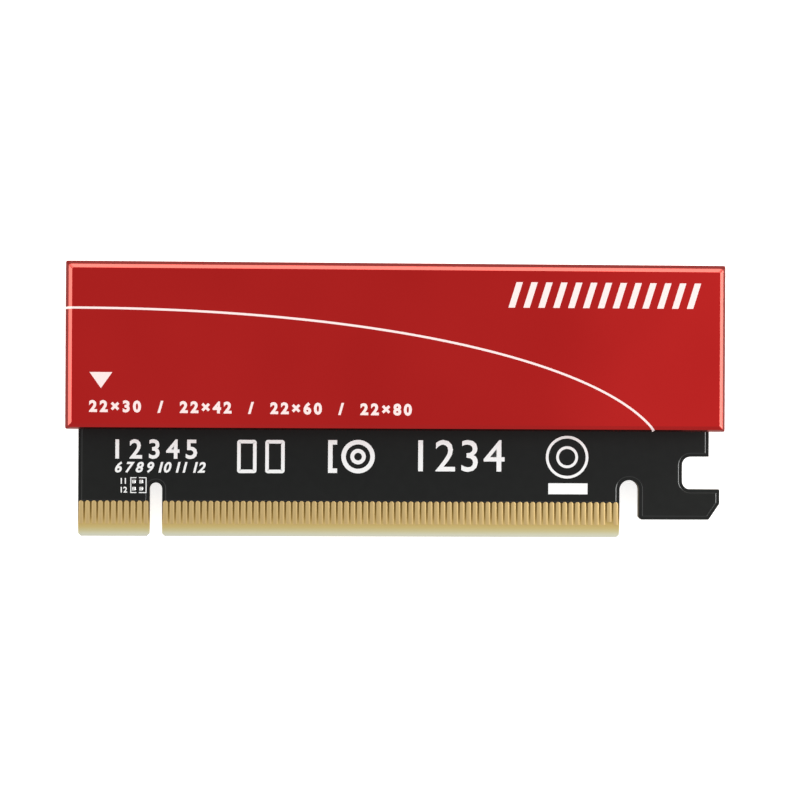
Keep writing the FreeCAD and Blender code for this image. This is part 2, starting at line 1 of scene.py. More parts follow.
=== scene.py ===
import bpy
import math
import numpy as np
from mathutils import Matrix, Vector


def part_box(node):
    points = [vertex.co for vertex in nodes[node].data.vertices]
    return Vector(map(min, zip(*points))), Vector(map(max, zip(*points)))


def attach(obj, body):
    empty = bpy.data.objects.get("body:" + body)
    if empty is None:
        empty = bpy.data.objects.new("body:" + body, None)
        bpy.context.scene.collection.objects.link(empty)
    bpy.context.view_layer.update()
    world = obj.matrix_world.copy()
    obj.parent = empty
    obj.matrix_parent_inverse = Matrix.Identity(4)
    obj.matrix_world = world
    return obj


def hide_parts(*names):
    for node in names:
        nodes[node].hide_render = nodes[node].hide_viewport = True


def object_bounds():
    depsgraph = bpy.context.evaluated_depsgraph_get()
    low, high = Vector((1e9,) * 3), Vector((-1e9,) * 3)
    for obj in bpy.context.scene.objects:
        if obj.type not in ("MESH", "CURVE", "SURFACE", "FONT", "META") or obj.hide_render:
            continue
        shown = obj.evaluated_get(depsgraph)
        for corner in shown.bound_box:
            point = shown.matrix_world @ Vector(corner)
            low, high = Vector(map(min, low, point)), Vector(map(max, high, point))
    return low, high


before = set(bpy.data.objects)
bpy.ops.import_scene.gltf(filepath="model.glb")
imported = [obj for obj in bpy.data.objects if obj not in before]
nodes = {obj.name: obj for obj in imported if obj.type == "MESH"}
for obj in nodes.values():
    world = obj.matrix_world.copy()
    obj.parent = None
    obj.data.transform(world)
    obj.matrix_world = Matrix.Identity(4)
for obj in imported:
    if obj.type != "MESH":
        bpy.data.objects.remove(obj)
cad_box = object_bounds()

# ---------------------------------------------------------------- circuit board
# Four-layer glass and epoxy laminate, 1.6 mm thick, routed to its outline and
# bevelled along the contact edge. Black solder mask covers all of it except the
# contact zone; it is clamped between the two covers.
MM = 0.001
MASK_EDGE = 5.36 * MM       # contact edge to the mask's lower border
RELIEF_MIDDLE = 73.5 * MM   # the mask covers everything right of this notch
MASK_CLOUD = 1.5 * MM       # size of the faint clouds in the cured ink
CUT_FIBRE = 0.12 * MM       # ends of the glass yarns on a routed edge
GLASS_YARN = 0.45 * MM      # pitch of the woven glass under the mask


def linear(colour):
    """An sRGB hex colour such as "c0ffee" as linear red, green, blue and alpha."""
    part = np.array([int(colour[i:i + 2], 16) for i in (0, 2, 4)]) / 255
    part = np.where(part <= 0.04045, part / 12.92, ((part + 0.055) / 1.055) ** 2.4)
    return (*part, 1.0)


def add(tree, kind, links=(), **settings):
    """Adds one node; links pairs an input's name or number with a value or a socket."""
    made = tree.nodes.new("ShaderNode" + kind)
    for name, value in settings.items():
        setattr(made, name, value)
    for name, value in dict(links).items():
        if isinstance(value, bpy.types.NodeSocket):
            tree.links.new(value, made.inputs[name])
        else:
            made.inputs[name].default_value = value
    return made


def material(name):
    """A new node material: its tree, its shader, and the piece's own coordinates."""
    made = bpy.data.materials.new(name)
    made.use_nodes = True
    tree = made.node_tree
    return made, tree, tree.nodes["Principled BSDF"], add(tree, "TexCoord").outputs["Object"]


def ramp(made, stops):
    """Sets a colour ramp's stops from pairs of position and linear colour."""
    band = made.color_ramp
    while len(band.elements) < len(stops):
        band.elements.new(0.5)
    for element, (place, colour) in zip(band.elements, stops):
        element.position, element.color = place, colour


# Black solder mask on laminate: a satin epoxy ink through which the weave of the
# glass cloth shows faintly; bare below it, where the resin is amber between the
# contacts, with painted shade of the narrow gaps darkening it towards the mask's
# border, and pale and matt where the bevel was ground.
solder_mask, tree, shader, place = material("black solder mask on glass-epoxy laminate")
axes = add(tree, "SeparateXYZ", {0: place})
below_mask = add(tree, "Math", {0: axes.outputs["Y"], 1: MASK_EDGE}, operation="LESS_THAN")
on_tongue = add(tree, "Math", {0: axes.outputs["X"], 1: RELIEF_MIDDLE}, operation="LESS_THAN")
bare = add(tree, "Math", {0: below_mask.outputs[0], 1: on_tongue.outputs[0]},
           operation="MULTIPLY")
up = add(tree, "SeparateXYZ", {0: add(tree, "TexCoord").outputs["Normal"]})
steep = add(tree, "Math", {0: up.outputs["Z"]}, operation="ABSOLUTE")
cut_edge = add(tree, "Math", {0: steep.outputs[0], 1: 0.5}, operation="LESS_THAN")
height = add(tree, "MapRange", {"Value": axes.outputs["Y"], "From Min": 0.0,
                                "From Max": MASK_EDGE})
# Painted shade: the ramp darkens the bare resin towards the mask's border, over its own amber,
# where the narrow gaps between the raised strips lie in shade.
resin_and_gap_shade = add(tree, "ValToRGB", {0: height.outputs[0]})
ramp(resin_and_gap_shade, [(0.0, linear("c2c2b7")), (0.07, linear("c5c4ad")), (0.16, linear("beb68c")),
             (0.27, linear("bba86e")), (0.36, linear("b69e61")), (0.55, linear("8b7138")),
             (0.75, linear("6c551f")), (0.97, linear("574214"))])
cloud = add(tree, "TexNoise", {"Vector": place, "Scale": 1 / MASK_CLOUD, "Detail": 4.0})
mask_tone = add(tree, "ValToRGB", {0: cloud.outputs["Fac"]})
ramp(mask_tone, [(0.3, linear("0a0c0b")), (0.7, linear("0e100f"))])
fibre = add(tree, "TexNoise", {"Vector": place, "Scale": 1 / CUT_FIBRE, "Detail": 2.0})
edge_tone = add(tree, "ValToRGB", {0: fibre.outputs["Fac"]})
ramp(edge_tone, [(0.35, linear("3a3323")), (0.65, linear("5c5238"))])
masked = add(tree, "Mix", {0: cut_edge.outputs[0], 6: mask_tone.outputs[0],
                           7: edge_tone.outputs[0]}, data_type="RGBA")
whole = add(tree, "Mix", {0: bare.outputs[0], 6: masked.outputs[2],
                          7: resin_and_gap_shade.outputs[0]}, data_type="RGBA")
tree.links.new(whole.outputs[2], shader.inputs["Base Color"])
gloss = add(tree, "MapRange", {"Value": cloud.outputs["Fac"], "To Min": 0.42, "To Max": 0.5})
tree.links.new(gloss.outputs[0], shader.inputs["Roughness"])
shader.inputs["Specular IOR Level"].default_value = 0.22
yarns = [add(tree, "TexWave", {"Vector": place, "Scale": 1 / (GLASS_YARN * 2 * math.pi)},
             bands_direction=way) for way in "XY"]
weave = add(tree, "Math", {0: yarns[0].outputs["Fac"], 1: yarns[1].outputs["Fac"]},
            operation="ADD")
relief = add(tree, "Bump", {"Height": weave.outputs[0], "Strength": 0.04,
                            "Distance": 0.01 * MM})
tree.links.new(relief.outputs[0], shader.inputs["Normal"])


def wear(node, coat):
    """Gives a carried node its material."""
    mesh = nodes[node].data
    mesh.materials.clear()
    mesh.materials.append(coat)


wear("circuit_board", solder_mask)

# ------------------------------------------------------- ground copper under the mask
# Copper planes 0.035 mm thick are etched back half a millimetre from every routed
# edge, and the mask follows them, so a fine step runs round the board inside its
# outline. It is part of the board, not fixed to it. Sizes from here on are in mm.
BOARD_THICKNESS = 1.6
POUR_HEIGHT = 0.035
POUR_INSET = 0.5
POUR_SLOPE = 0.1            # width of the mask's slope down the copper's edge
POUR_SUNK = 0.005           # how far the step's foot is sunk into the board


def rounded(corners):
    """A closed outline: each corner (x, y, radius) becomes an arc tangent to both sides."""
    points = np.array([c[:2] for c in corners], float)
    before, after = np.roll(points, 1, axis=0), np.roll(points, -1, axis=0)
    path = []
    for corner, a, b, (*_, radius) in zip(points, before, after, corners):
        if not radius:
            path.append(corner[None])
            continue
        u, v = (a - corner) / np.linalg.norm(a - corner), (b - corner) / np.linalg.norm(b - corner)
        half = math.acos(np.clip(u @ v, -1, 1)) / 2
        middle = corner + (u + v) / np.linalg.norm(u + v) * radius / math.sin(half)
        start, end = corner + u * radius / math.tan(half), corner + v * radius / math.tan(half)
        first = math.atan2(*(start - middle)[::-1])
        turn = (math.atan2(*(end - middle)[::-1]) - first + math.pi) % (2 * math.pi) - math.pi
        angle = first + turn * np.linspace(0, 1, 9)
        path.append(middle + radius * np.stack([np.cos(angle), np.sin(angle)], 1))
    return np.concatenate(path)


def inset(corners, distance):
    """Corners (x, y, radius) of an anticlockwise outline moved inwards: each goes along
    its mitre, its radius less by the distance where it is convex, more where hollow."""
    points = np.array([c[:2] for c in corners], float)
    radii = np.array([c[2] for c in corners], float)
    ahead = np.roll(points, -1, axis=0) - points
    ahead /= np.linalg.norm(ahead, axis=1)[:, None]
    behind = np.roll(ahead, 1, axis=0)
    inward = np.stack([-ahead[:, 1], ahead[:, 0]], 1)
    mitre = inward + np.roll(inward, 1, axis=0)
    moved = points + mitre * (2 * distance / (mitre ** 2).sum(1))[:, None]
    convex = behind[:, 0] * ahead[:, 1] - behind[:, 1] * ahead[:, 0] > 0
    radii = np.where(convex, np.maximum(radii - distance, 0.05), radii + distance)
    return np.c_[moved, radii].tolist()


def piece(name, points, faces, coat, smooth=False):
    """A mesh object from points in millimetres, riding on the card."""
    mesh = bpy.data.meshes.new(name)
    mesh.from_pydata((np.asarray(points, float) * MM).tolist(), [], faces)
    mesh.polygons.foreach_set("use_smooth", [smooth] * len(mesh.polygons))
    mesh.materials.append(coat)
    made = bpy.data.objects.new(name, mesh)
    bpy.context.scene.collection.objects.link(made)
    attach(made, "root")
    return made


# The mask is thinnest and smoothest where it flows over the copper's shoulder.
thin_mask, tree, shader, place = material("black solder mask over a copper shoulder")
flow = add(tree, "TexNoise", {"Vector": place, "Scale": 1 / (0.6 * MM), "Detail": 2.0})
tone = add(tree, "ValToRGB", {0: flow.outputs["Fac"]})
ramp(tone, [(0.3, linear("0a0c0b")), (0.7, linear("0e100f"))])
tree.links.new(tone.outputs[0], shader.inputs["Base Color"])
shader.inputs["Roughness"].default_value = 0.25
shader.inputs["Specular IOR Level"].default_value = 0.8


def plateau(corners, low, high, slope):
    """A flat-topped step over a closed outline: one ring at its foot, one ring inset by
    the slope at its top, and a face across each end."""
    foot, top = rounded(corners), rounded(inset(corners, slope))
    count = len(foot)
    points = np.concatenate([np.c_[foot, np.full(count, low)],
                             np.c_[top, np.full(count, high)]])
    i = np.arange(count)
    j = (i + 1) % count
    sides = np.stack([i, j, j + count, i + count], 1).tolist()
    ends = [list(range(count - 1, -1, -1)), list(range(count, 2 * count))]
    return points, sides + ends


# The board's outline outside the covers, as corners (x, y, radius), anticlockwise.
planes = inset([
    (-11.95, 5.0, 0), (-0.975, 5.0, 0), (-0.975, 8.3, 0.9), (0.975, 8.3, 0.9),
    (0.975, 5.0, 0), (72.1, 5.0, 0), (72.1, 8.95, 1.4), (75.15, 8.95, 1.4),
    (75.15, 2.8, 0.4), (86.1, 2.8, 0), (87.8, 5.3, 0), (87.8, 7.55, 0),
    (81.9, 7.55, 1.3), (81.9, 12.65, 1.3), (86.1, 12.65, 0), (86.1, 17.5, 0),
    (-11.95, 17.5, 0)], POUR_INSET)
for side, foot, top in (("front", BOARD_THICKNESS - POUR_SUNK, BOARD_THICKNESS + POUR_HEIGHT),
                        ("back", POUR_SUNK, -POUR_HEIGHT)):
    points, faces = plateau(planes, foot, top, POUR_SLOPE)
    if side == "back":
        faces = [f[::-1] for f in faces]
    pour = piece("copper_pour_" + side, points, faces, solder_mask)
    pour.data.materials.append(thin_mask)
    pour.data.polygons.foreach_set("material_index", [1] * (len(faces) - 2) + [0, 0])

# ---------------------------------------------------------------------- edge contacts
# Copper strips under nickel and hard gold, 82 on each face, 1 mm apart, etched with
# rounded heads that tuck under the mask's border. Electroplating leaves each strip
# slightly crowned with soft shoulders.
CONTACT_WIDTH = 0.70
CONTACT_HEAD = 5.52
CONTACT_FOOT = 1.95         # where the strips end above the board's bevel
SHORT_FOOT = 2.4            # the one short strip, which touches last
SHORT_PLACE = 70.5
CONTACT_CROWN = 0.035
FOOT_RAMP = 0.12            # length over which a strip rises from the board at its foot
strip_middles = np.concatenate([-1.5 - np.arange(11.0), 1.5 + np.arange(71.0)])

# Fine streaks run along the strips, where the copper was brushed before plating.
hard_gold, tree, shader, place = material("hard gold plating over nickel")
streak_place = add(tree, "Mapping", {"Vector": place,
                                     "Scale": (1 / (0.05 * MM), 1 / (1.2 * MM), 1.0)})
streaks = add(tree, "TexNoise", {"Vector": streak_place.outputs[0], "Scale": 1.0,
                                 "Detail": 3.0})
tone = add(tree, "ValToRGB", {0: streaks.outputs["Fac"]})
ramp(tone, [(0.3, linear("cbb07a")), (0.7, linear("d3b882"))])
tree.links.new(tone.outputs[0], shader.inputs["Base Color"])
rub = add(tree, "MapRange", {"Value": streaks.outputs["Fac"], "To Min": 0.4, "To Max": 0.52})
tree.links.new(rub.outputs[0], shader.inputs["Roughness"])
shader.inputs["Metallic"].default_value = 1.0


def strip_points(middle, foot, head, width, crown, level, across=7, along=6):
    """A contact strip on a grid: u runs across it and v from foot to head. Its half
    width is full up to the head's arc and then follows a circle; its height is the
    crown times 1 - u^4, a tenth of it at the foot and a third at the head's tip."""
    u = np.linspace(-1, 1, across)
    arc = np.linspace(0, math.pi / 2, along)
    half = width / 2
    y = np.concatenate([[foot, foot + FOOT_RAMP], head - half + half * np.sin(arc)])
    reach = np.concatenate([[1, 1], np.cos(arc)]) * half
    rise = np.concatenate([[0.1], np.ones(along), [0.35]])
    grid_x = middle + reach[:, None] * u[None, :]
    grid_z = level + crown * rise[:, None] * (1 - u[None, :] ** 4)
    return np.stack([grid_x, np.repeat(y[:, None], across, 1), grid_z], 2)


def strips(middles, feet, level, crown):
    """All strips of a face as one set of grids."""
    grids = [strip_points(x, foot, CONTACT_HEAD, CONTACT_WIDTH, crown, level)
             for x, foot in zip(middles, feet)]
    rows, columns = grids[0].shape[:2]
    r, c = np.meshgrid(np.arange(rows - 1), np.arange(columns - 1), indexing="ij")
    corner = (r * columns + c).ravel()
    quad = np.stack([corner, corner + 1, corner + columns + 1, corner + columns], 1)
    shift = np.arange(len(grids))[:, None, None] * rows * columns
    return np.concatenate([g.reshape(-1, 3) for g in grids]), (quad + shift).reshape(-1, 4)


feet = np.full(len(strip_middles), CONTACT_FOOT)
feet[np.isclose(strip_middles, SHORT_PLACE)] = SHORT_FOOT
points, faces = strips(strip_middles, feet, BOARD_THICKNESS, CONTACT_CROWN)
gold_front = piece("gold_contacts_front", points, faces.tolist(), hard_gold,
                   True)
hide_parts("edge_contacts_front")
feet = np.full(len(strip_middles), CONTACT_FOOT)
points, faces = strips(strip_middles, feet, 0.0, -CONTACT_CROWN)
gold_back = piece("gold_contacts_back", points, faces[:, ::-1].tolist(), hard_gold,
                  True)
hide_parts("edge_contacts_back")

# ------------------------------------------------------------------------- clamshell
# Two milled aluminium covers, bead blasted and anodised red. They close over the
# module and the board like a shell, and four screws from the back hold them.
BLAST_GRAIN = 0.10 * MM     # real pits are near 0.05 mm; drawn twice as coarse to show
BATH_CLOUD = 22 * MM        # slow changes of the dye over a cover
SEAM_SHADE_WIDTH = 0.14 * MM    # width of the painted shade round the walls at z = 0, in the seam where the covers meet

# Sealed oxide, IOR 1.7, lies over the dyed metal. The bevels on three sides are cut after
# blasting, so the seal is clear and glossy there; their red is painted deeper, as painted
# shade that tones down the highlight on them. The long lower bevel is blasted with the
# face and keeps the face's red.
red_anodised, tree, shader, place = material("red anodised aluminium, bead blasted")
grain = add(tree, "TexNoise", {"Vector": place, "Scale": 1 / BLAST_GRAIN, "Detail": 3.0})
bath = add(tree, "TexNoise", {"Vector": place, "Scale": 1 / BATH_CLOUD, "Detail": 2.0})
dye = add(tree, "ValToRGB", {0: bath.outputs["Fac"]})
ramp(dye, [(0.3, linear("c41a18")), (0.7, linear("cc1f1d"))])
up = add(tree, "SeparateXYZ", {0: add(tree, "TexCoord").outputs["Normal"]})
upright = add(tree, "Math", {0: up.outputs["Z"]}, operation="ABSOLUTE")
tilted = add(tree, "Math", {0: upright.outputs[0], 1: math.sqrt(0.5), 2: 0.12},
             operation="COMPARE")
not_low = add(tree, "Math", {0: up.outputs["Y"], 1: -0.3}, operation="GREATER_THAN")
on_bevel = add(tree, "Math", {0: tilted.outputs[0], 1: not_low.outputs[0]},
               operation="MULTIPLY")
# Painted shade: the three cut bevels get a deeper red that tones down the highlight on them.
tint = add(tree, "Mix", {0: on_bevel.outputs[0], 6: dye.outputs[0], 7: linear("7c1b1a")},
           data_type="RGBA")
# Painted shade: a dark hairline round the walls at z = 0 stands for the shade in the seam where
# the two covers meet.
level = add(tree, "SeparateXYZ", {0: place})
seam_shade_band = add(tree, "Math", {0: level.outputs["Z"], 1: 0.0, 2: SEAM_SHADE_WIDTH / 2},
              operation="COMPARE")
dark = add(tree, "Mix", {0: seam_shade_band.outputs[0], 6: tint.outputs[2], 7: linear("3a0a09")},
           data_type="RGBA")
tree.links.new(dark.outputs[2], shader.inputs["Base Color"])
seal = add(tree, "MapRange", {"Value": on_bevel.outputs[0], "To Min": 0.15, "To Max": 0.35})
tree.links.new(seal.outputs[0], shader.inputs["Coat Weight"])
matt = add(tree, "MapRange", {"Value": grain.outputs["Fac"], "To Min": 0.18, "To Max": 0.25})
tree.links.new(matt.outputs[0], shader.inputs["Roughness"])
pits = add(tree, "Bump", {"Height": grain.outputs["Fac"], "Strength": 0.05,
                          "Distance": 0.004 * MM})
tree.links.new(pits.outputs[0], shader.inputs["Normal"])
shader.inputs["Metallic"].default_value = 1.0
shader.inputs["Coat IOR"].default_value = 1.7
shader.inputs["Coat Roughness"].default_value = 0.2
wear("front_cover", red_anodised)
wear("back_cover", red_anodised)

# ---------------------------------------------------------- white print on the cover
# Screen printed epoxy ink on the front cover: one long arc from the left edge to the
# lower right, a pointer, a row of slanted bars and a scale of module lengths in
# plain numbers. The ink goes over the bevels.
INK = 0.012                 # the ink's height over a face, and how far it is sunk in it
(LEFT, BOTTOM, _), (RIGHT, TOP, _) = np.array(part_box("front_cover")) / MM


def epoxy_ink(name, thin, thick):
    """White epoxy ink, satin, with a fine mottle between its thinner and thicker places."""
    made, tree, shader, place = material(name)
    mottle = add(tree, "TexNoise", {"Vector": place, "Scale": 1 / (0.2 * MM), "Detail": 3.0})
    tone = add(tree, "ValToRGB", {0: mottle.outputs["Fac"]})
    ramp(tone, [(0.3, linear(thin)), (0.7, linear(thick))])
    tree.links.new(tone.outputs[0], shader.inputs["Base Color"])
    shader.inputs["Roughness"].default_value = 0.5
    shader.inputs["Specular IOR Level"].default_value = 0.3
    return made


# Screen-printed ink is thin, so a little of the red shows through it.
cover_ink = epoxy_ink("white screen-printed ink over red", "e6d2d3", "ecd8d9")


def cover_face(x, y):
    """Height of the front cover's outer face over (x, y): flat in the middle, a 45
    degree bevel round it, and a steep facet outside that, narrower along the bottom."""
    inside = np.minimum.reduce([x - LEFT, RIGHT - x, TOP - y])
    return np.minimum(np.interp(inside, [0.0, 0.55, 1.1], [6.35, 7.45, 8.0]),
                      np.interp(y - BOTTOM, [0.0, 0.3, 0.85], [6.35, 7.45, 8.0]))


def board_face(x, y):
    """Height of the mask over the copper, which carries all the board's print."""
    return np.full(np.shape(x), BOARD_THICKNESS + POUR_HEIGHT)


def line(path, width, face, closed=False, rails=3):
    """An ink line: a thin closed section carried along a path and laid on a face. Its
    rails are the path moved sideways by equal steps of the width, one set of them
    above the face and one below."""
    path = np.asarray(path, float)
    ahead = (np.roll(path, -1, axis=0) if closed else path[1:]) - path[:len(path) - (not closed)]
    ahead /= np.linalg.norm(ahead, axis=1)[:, None]
    side = np.stack([-ahead[:, 1], ahead[:, 0]], 1)
    mitre = (side + np.roll(side, 1, axis=0) if closed
             else np.concatenate([2 * side[:1], side[:-1] + side[1:], 2 * side[-1:]]))
    mitre /= (mitre ** 2).sum(1)[:, None] / 2
    steps = np.linspace(-0.5, 0.5, rails) * width
    flat = path[None] + mitre[None] * steps[:, None, None]
    level = face(flat[..., 0], flat[..., 1])
    over = np.concatenate([flat, (level + INK)[..., None]], 2)
    under = np.concatenate([flat, (level - INK)[..., None]], 2)
    sheets = np.concatenate([over, under[::-1]])
    count, rows = len(path), 2 * rails
    row = np.arange(rows)[:, None]
    step = np.arange(count if closed else count - 1)[None]
    corner = [(row * count + step), ((row + 1) % rows * count + step),
              ((row + 1) % rows * count + (step + 1) % count), (row * count + (step + 1) % count)]
    faces = np.stack([c.ravel() for c in corner], 1)[:, ::-1].tolist()
    if not closed:
        end = np.arange(rows) * count
        faces += [end.tolist(), (end + count - 1)[::-1].tolist()]
    return sheets.reshape(-1, 3), faces


def patch(outline, face):
    """A filled ink shape: its outline below and above the face, joined by a wall."""
    outline = np.asarray(outline, float)
    level = face(outline[:, 0], outline[:, 1])
    count = len(outline)
    points = np.concatenate([np.c_[outline, level - INK], np.c_[outline, level + INK]])
    i = np.arange(count)
    j = (i + 1) % count
    walls = np.stack([i, j, j + count, i + count], 1).tolist()
    return points, walls + [list(range(count - 1, -1, -1)), list(range(count, 2 * count))]


def numerals(text, left, base, height, face, spacing=1.0, bold=0.0, slant=0.0, fall=0.0):
    """Plain numerals in the built-in face, as a thin solid: scaled to the height, moved
    to (left, base), and sinking by the fall from the first to the last."""
    type_line = bpy.data.curves.new("numerals", "FONT")
    type_line.body, type_line.offset, type_line.shear = text, bold, slant
    type_line.extrude, type_line.resolution_u, type_line.space_character = 0.5, 3, spacing
    holder = bpy.data.objects.new("numerals", type_line)
    mesh = bpy.data.meshes.new_from_object(holder)
    points = np.empty(len(mesh.vertices) * 3)
    mesh.vertices.foreach_get("co", points)
    points = points.reshape(-1, 3)
    faces = [list(p.vertices) for p in mesh.polygons]
    bpy.data.meshes.remove(mesh)
    bpy.data.objects.remove(holder)
    low, high = points.min(0), points.max(0)
    along = (points[:, 0] - low[0]) / (high[0] - low[0])
    scale = height / (high[1] - low[1])
    x = left + (points[:, 0] - low[0]) * scale
    y = base + (points[:, 1] - low[1]) * scale - fall * along
    return np.stack([x, y, face(x, y) + 2 * INK * points[:, 2]], 1), faces


def printed(name, parts, ink):
    """One piece from all the ink shapes of a print."""
    points, faces, start = [], [], 0
    for part_points, part_faces in parts:
        points.append(part_points)
        faces += [[start + k for k in f] for f in part_faces]
        start += len(part_points)
    return piece(name, np.concatenate(points), faces, ink)


ARC_START, ARC_END, ARC_REACH = -12.02, 76.58, 90.54
ARC_FOOT, ARC_RISE, ARC_POWER = 11.33, 23.7, 2.09


def swept(x):
    """The arc's height over the contact edge: a superellipse's upper right quarter."""
    along = np.abs((x - ARC_START) / ARC_REACH) ** ARC_POWER
    return ARC_FOOT + ARC_RISE * (1 - along) ** (1 / ARC_POWER)


# The steps along the arc are closest where it bends over the bevels at its two ends.
across = np.concatenate([np.linspace(LEFT + 0.03, LEFT + 1.2, 40), np.linspace(-12.2, 75.4, 170),
                         np.linspace(75.43, ARC_END, 120)])
arc = np.stack([across, swept(across)], 1)
pointer = [(-9.75, 25.27), (-8.02, 22.84), (-6.3, 25.27)]
bars = [patch([(x, 35.5), (x + 0.98, 35.5), (x + 2.2, 39.4), (x + 1.22, 39.4)], cover_face)
        for x in 53.95 + 2.29 * np.arange(13)]
sizes_row = numerals("22\u00d730  /  22\u00d742  /  22\u00d760  /  22\u00d780", -9.8, 19.18, 1.9,
                     cover_face, spacing=1.38, bold=0.045, fall=0.33)
printed("cover_print", [line(arc, 0.34, cover_face, rails=9), patch(pointer, cover_face),
                        sizes_row] + bars, cover_ink)

# ------------------------------------------------------------- marks on the board
# White legend ink printed on the mask: plain fabrication marks such as rows of numbers,
# check boxes, a registration target, layer numbers, two rings and a blank field, and
# the brackets round an empty footprint for two parts with its tinned pads.
def ring(x, y, radius, count=48):
    """A circle as a closed path."""
    angle = np.linspace(0, 2 * math.pi, count, endpoint=False)
    return np.stack([x + radius * np.cos(angle), y + radius * np.sin(angle)], 1)


def box_path(x0, y0, x1, y1, radius=0.0):
    """A rectangle as a closed path with rounded corners."""
    return rounded([(x0, y0, radius), (x1, y0, radius), (x1, y1, radius), (x0, y1, radius)])


marks = [numerals("1 2 3 4 5", -6.25, 11.96, 3.04, board_face, spacing=0.92, bold=0.02),
         numerals("6 7 8 9 10 11 12", -6.3, 9.8, 1.75, board_face, spacing=0.95, bold=0.03,
                  slant=0.25)]
marks += [line(box_path(x, 10.1, x + 2.45, 14.7, 0.15), 0.55, board_face, True)
          for x in (12.8, 17.15)]
marks += [line([(28.0, 14.65), (26.95, 14.65), (26.95, 10.25), (28.0, 10.25)], 0.7,
               board_face),
          line(ring(31.25, 12.45, 2.25), 0.7, board_face, True),
          line(ring(31.25, 12.45, 0.9), 0.6, board_face, True)]
marks += [numerals("1234", 40.6, 10.15, 4.95, board_face, spacing=1.1, bold=0.004)]
marks += [line(ring(63.85, 12.5, 3.12), 0.42, board_face, True),
          line(ring(63.85, 12.5, 1.5), 0.42, board_face, True),
          patch(box_path(60.92, 6.72, 67.07, 8.43), board_face)]
marks += [numerals("11", -5.4, 8.1, 0.9, board_face, bold=0.02),
          numerals("12", -5.4, 6.75, 0.9, board_face, bold=0.02)]
marks += [line([(turn, 9.05), (edge, 9.05), (edge, 6.75), (turn, 6.75)], 0.14, board_face)
          for edge, turn in ((-3.85, -3.0), (-1.5, -2.6))]
# The ink's faint cyan is painted to cancel the red light that bounces onto the board from the
# covers.
legend_ink = epoxy_ink("white screen-printed epoxy ink", "f2f5f5", "f8fbfb")
legend = printed("board_legend", marks, legend_ink)
legend.visible_glossy = False

tin, tree, shader, place = material("tinned copper pad")
ripple = add(tree, "TexNoise", {"Vector": place, "Scale": 1 / (0.15 * MM), "Detail": 2.0})
sheen = add(tree, "MapRange", {"Value": ripple.outputs["Fac"], "To Min": 0.2, "To Max": 0.35})
tree.links.new(sheen.outputs[0], shader.inputs["Roughness"])
shader.inputs["Base Color"].default_value = linear("e4e4e2")
shader.inputs["Metallic"].default_value = 1.0


PAD_SIZE = (0.55, 0.6, 0.07)     # width, depth, height of the solder
PAD_GRID = 7


def dome(x, y):
    """Solder on a pad: height times (1 - u^4)(1 - v^4) over a square grid."""
    width, depth, height = PAD_SIZE
    u, v = np.meshgrid(np.linspace(-1, 1, PAD_GRID), np.linspace(-1, 1, PAD_GRID))
    z = board_face(x + u, y + v) + height * (1 - u ** 4) * (1 - v ** 4)
    grid = np.stack([x + u * width / 2, y + v * depth / 2, z], 2).reshape(-1, 3)
    corner = (np.arange(PAD_GRID - 1)[:, None] * PAD_GRID + np.arange(PAD_GRID - 1)).ravel()
    return grid, np.stack([corner, corner + 1, corner + PAD_GRID + 1, corner + PAD_GRID], 1)


pads = [dome(x, y) for x in (-3.38, -2.27) for y in (7.35, 8.45)]
points = np.concatenate([p for p, _ in pads])
faces = np.concatenate([f + PAD_GRID ** 2 * k for k, (_, f) in enumerate(pads)])
piece("footprint_pads", points, faces.tolist(), tin, True)

# ------------------------------------------------------------- inside the clamshell
# The module socket of black liquid-crystal polymer with its tinned contacts and
# anchors, the brass standoff and its screw, two silicone thermal pads and the small
# chip parts. All are soldered or laid in place before the covers close.
def plain(name, dark, light, size, rough, metal=0.0):
    """A mottled finish: noise of the given grain moves the colour between two tones."""
    made, tree, shader, place = material(name)
    noise = add(tree, "TexNoise", {"Vector": place, "Scale": 1 / (size * MM), "Detail": 3.0})
    tone = add(tree, "ValToRGB", {0: noise.outputs["Fac"]})
    ramp(tone, [(0.3, linear(dark)), (0.7, linear(light))])
    tree.links.new(tone.outputs[0], shader.inputs["Base Color"])
    spread = add(tree, "MapRange", {"Value": noise.outputs["Fac"], "To Min": rough * 0.85,
                                    "To Max": rough * 1.15})
    tree.links.new(spread.outputs[0], shader.inputs["Roughness"])
    shader.inputs["Metallic"].default_value = metal
    return made


finishes = {
    "m2_socket_housing": plain("black liquid-crystal polymer, moulded", "141414", "1c1c1c",
                               0.2, 0.5),
    "m2_standoff": plain("turned brass", "c9a869", "d6b87c", 0.3, 0.3, 1.0),
    "thermal_pad_front": plain("grey silicone thermal pad", "8b8f92", "979b9e", 0.3, 0.8),
}
finishes["thermal_pad_back"] = finishes["thermal_pad_front"]
for name in ("m2_socket_contacts", "m2_socket_anchor_lower", "m2_socket_anchor_upper"):
    finishes[name] = tin
screw_steel = plain("nickel-plated steel screw", "b9b9b6", "c8c8c5", 0.2, 0.3, 1.0)
ceramic_tan = plain("tan ceramic chip capacitor", "8a6a48", "96754f", 0.2, 0.5)
ceramic_black = plain("black glazed chip resistor", "151515", "202020", 0.2, 0.4)
for name in nodes:
    if "screw" in name:
        finishes[name] = screw_steel
    elif name.startswith("capacitor"):
        finishes[name] = ceramic_tan
    elif name.startswith("resistor"):
        finishes[name] = ceramic_black
for name, finish in finishes.items():
    wear(name, finish)

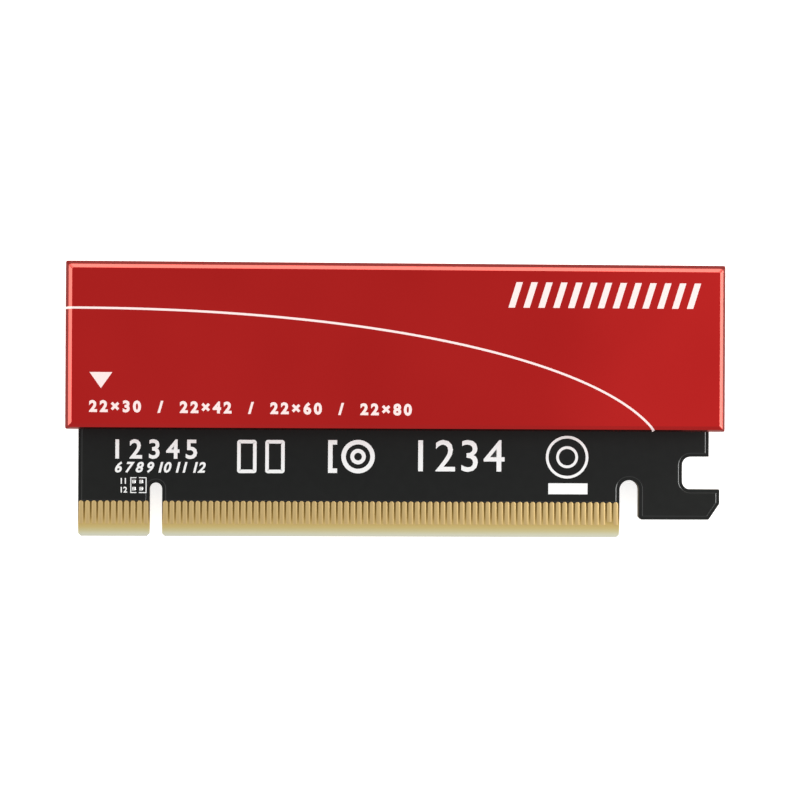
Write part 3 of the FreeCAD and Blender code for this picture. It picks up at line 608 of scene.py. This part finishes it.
# ------------------------------------------------------------------------ studio
# A white table top, low warm panels on three sides and at the two far corners, three
# soft boxes above, and a camera looking straight down at the card.
table_white, tree, shader, place = material("white table top")
fleck = add(tree, "TexNoise", {"Vector": place, "Scale": 8.0})
tone = add(tree, "ValToRGB", {0: fleck.outputs["Fac"]})
ramp(tone, [(0.3, (0.9, 0.9, 0.9, 1)), (0.7, (0.92, 0.92, 0.92, 1))])
tree.links.new(tone.outputs[0], shader.inputs["Base Color"])
shader.inputs["Roughness"].default_value = 0.9
shader.inputs["Specular IOR Level"].default_value = 0.0
shader.inputs["Emission Color"].default_value = (1, 1, 1, 1)
shader.inputs["Emission Strength"].default_value = 0.7

# The card under the object is black and glows faintly warm, and is seen by reflections
# alone: a painted reflection that keeps the steep facets of the covers darker than the
# table would make them.
reflection_glow_card, tree, shader, place = material("card glowing in reflections only")
shader.inputs["Base Color"].default_value = (0, 0, 0, 1)
shader.inputs["Emission Color"].default_value = (1, 0.9, 0.8, 1)
shader.inputs["Emission Strength"].default_value = 0.45
shader.inputs["Specular IOR Level"].default_value = 0.0

scene = bpy.context.scene
FLOOR = cad_box[0][2]


def sheet(name, x0, y0, x1, y1, level, coat):
    """A flat rectangle of the studio, in metres."""
    mesh = bpy.data.meshes.new(name)
    mesh.from_pydata([(x0, y0, level), (x1, y0, level), (x1, y1, level), (x0, y1, level)],
                     [], [(0, 1, 2, 3)])
    mesh.materials.append(coat)
    made = bpy.data.objects.new(name, mesh)
    scene.collection.objects.link(made)
    made.visible_shadow = False
    return made


table = sheet("table", -3.0, -3.0, 3.0, 3.0, FLOOR, table_white)
table.visible_glossy = False
card = sheet("reflection_glow_card", -0.06, -0.03, 0.135, 0.09, FLOOR - 0.001, reflection_glow_card)
card.visible_camera = card.visible_diffuse = False

world = bpy.data.worlds.new("studio")
world.use_nodes = True
world.node_tree.nodes["Background"].inputs["Color"].default_value = (1, 1, 1, 1)
world.node_tree.nodes["Background"].inputs["Strength"].default_value = 0.655
scene.world = world
scene.view_settings.view_transform = "Standard"

centre = Vector((0.0375, 0.021, 0.0))
WARM = (1.0, 0.92, 0.74)


def soft_box(name, place, size, radiance, aim, tint=(1, 1, 1)):
    """A rectangular lamp, aimed at a point: its power is pi times radiance times area."""
    lamp = bpy.data.lights.new(name, "AREA")
    lamp.shape = "RECTANGLE"
    lamp.size, lamp.size_y = size
    lamp.energy = radiance * math.pi * size[0] * size[1]
    lamp.color = tint
    made = bpy.data.objects.new(name, lamp)
    made.location = place
    made.rotation_euler = (Vector(aim) - Vector(place)).to_track_quat("-Z", "Y").to_euler()
    made.visible_camera = False
    scene.collection.objects.link(made)


for name, side, size, radiance in (("left_panel", (-0.35, 0, 0), (0.25, 0.1), 7.0),
                                   ("right_panel", (0.35, 0, 0), (0.25, 0.1), 12.3),
                                   ("far_panel", (0, 0.35, 0), (0.36, 0.1), 7.8),
                                   ("far_left_panel", (-0.25, 0.25, 0.12), (0.22, 0.12), 6.5),
                                   ("far_right_panel", (0.25, 0.25, 0.12), (0.22, 0.12), 8.0)):
    soft_box(name, centre + Vector(side), size, radiance, centre, WARM)
for name, place, width, radiance in (("left_soft_box", (-0.34, 0, 0.46), 0.2, 0.9),
                                     ("right_soft_box", (0.24, 0, 0.5), 0.3, 0.22),
                                     ("key_soft_box", (0.52, 0, 0.42), 0.2, 9.0)):
    soft_box(name, centre + Vector(place), (0.4, width), radiance, centre)

lens = bpy.data.cameras.new("camera")
lens.lens, lens.sensor_width = 104.78, 36.0
camera = bpy.data.objects.new("camera", lens)
camera.location = (0.0207, 0.0210, 0.3630)
camera.rotation_euler = [math.radians(a) for a in (0.029, -2.697, 0.309)]
scene.collection.objects.link(camera)
scene.camera = camera
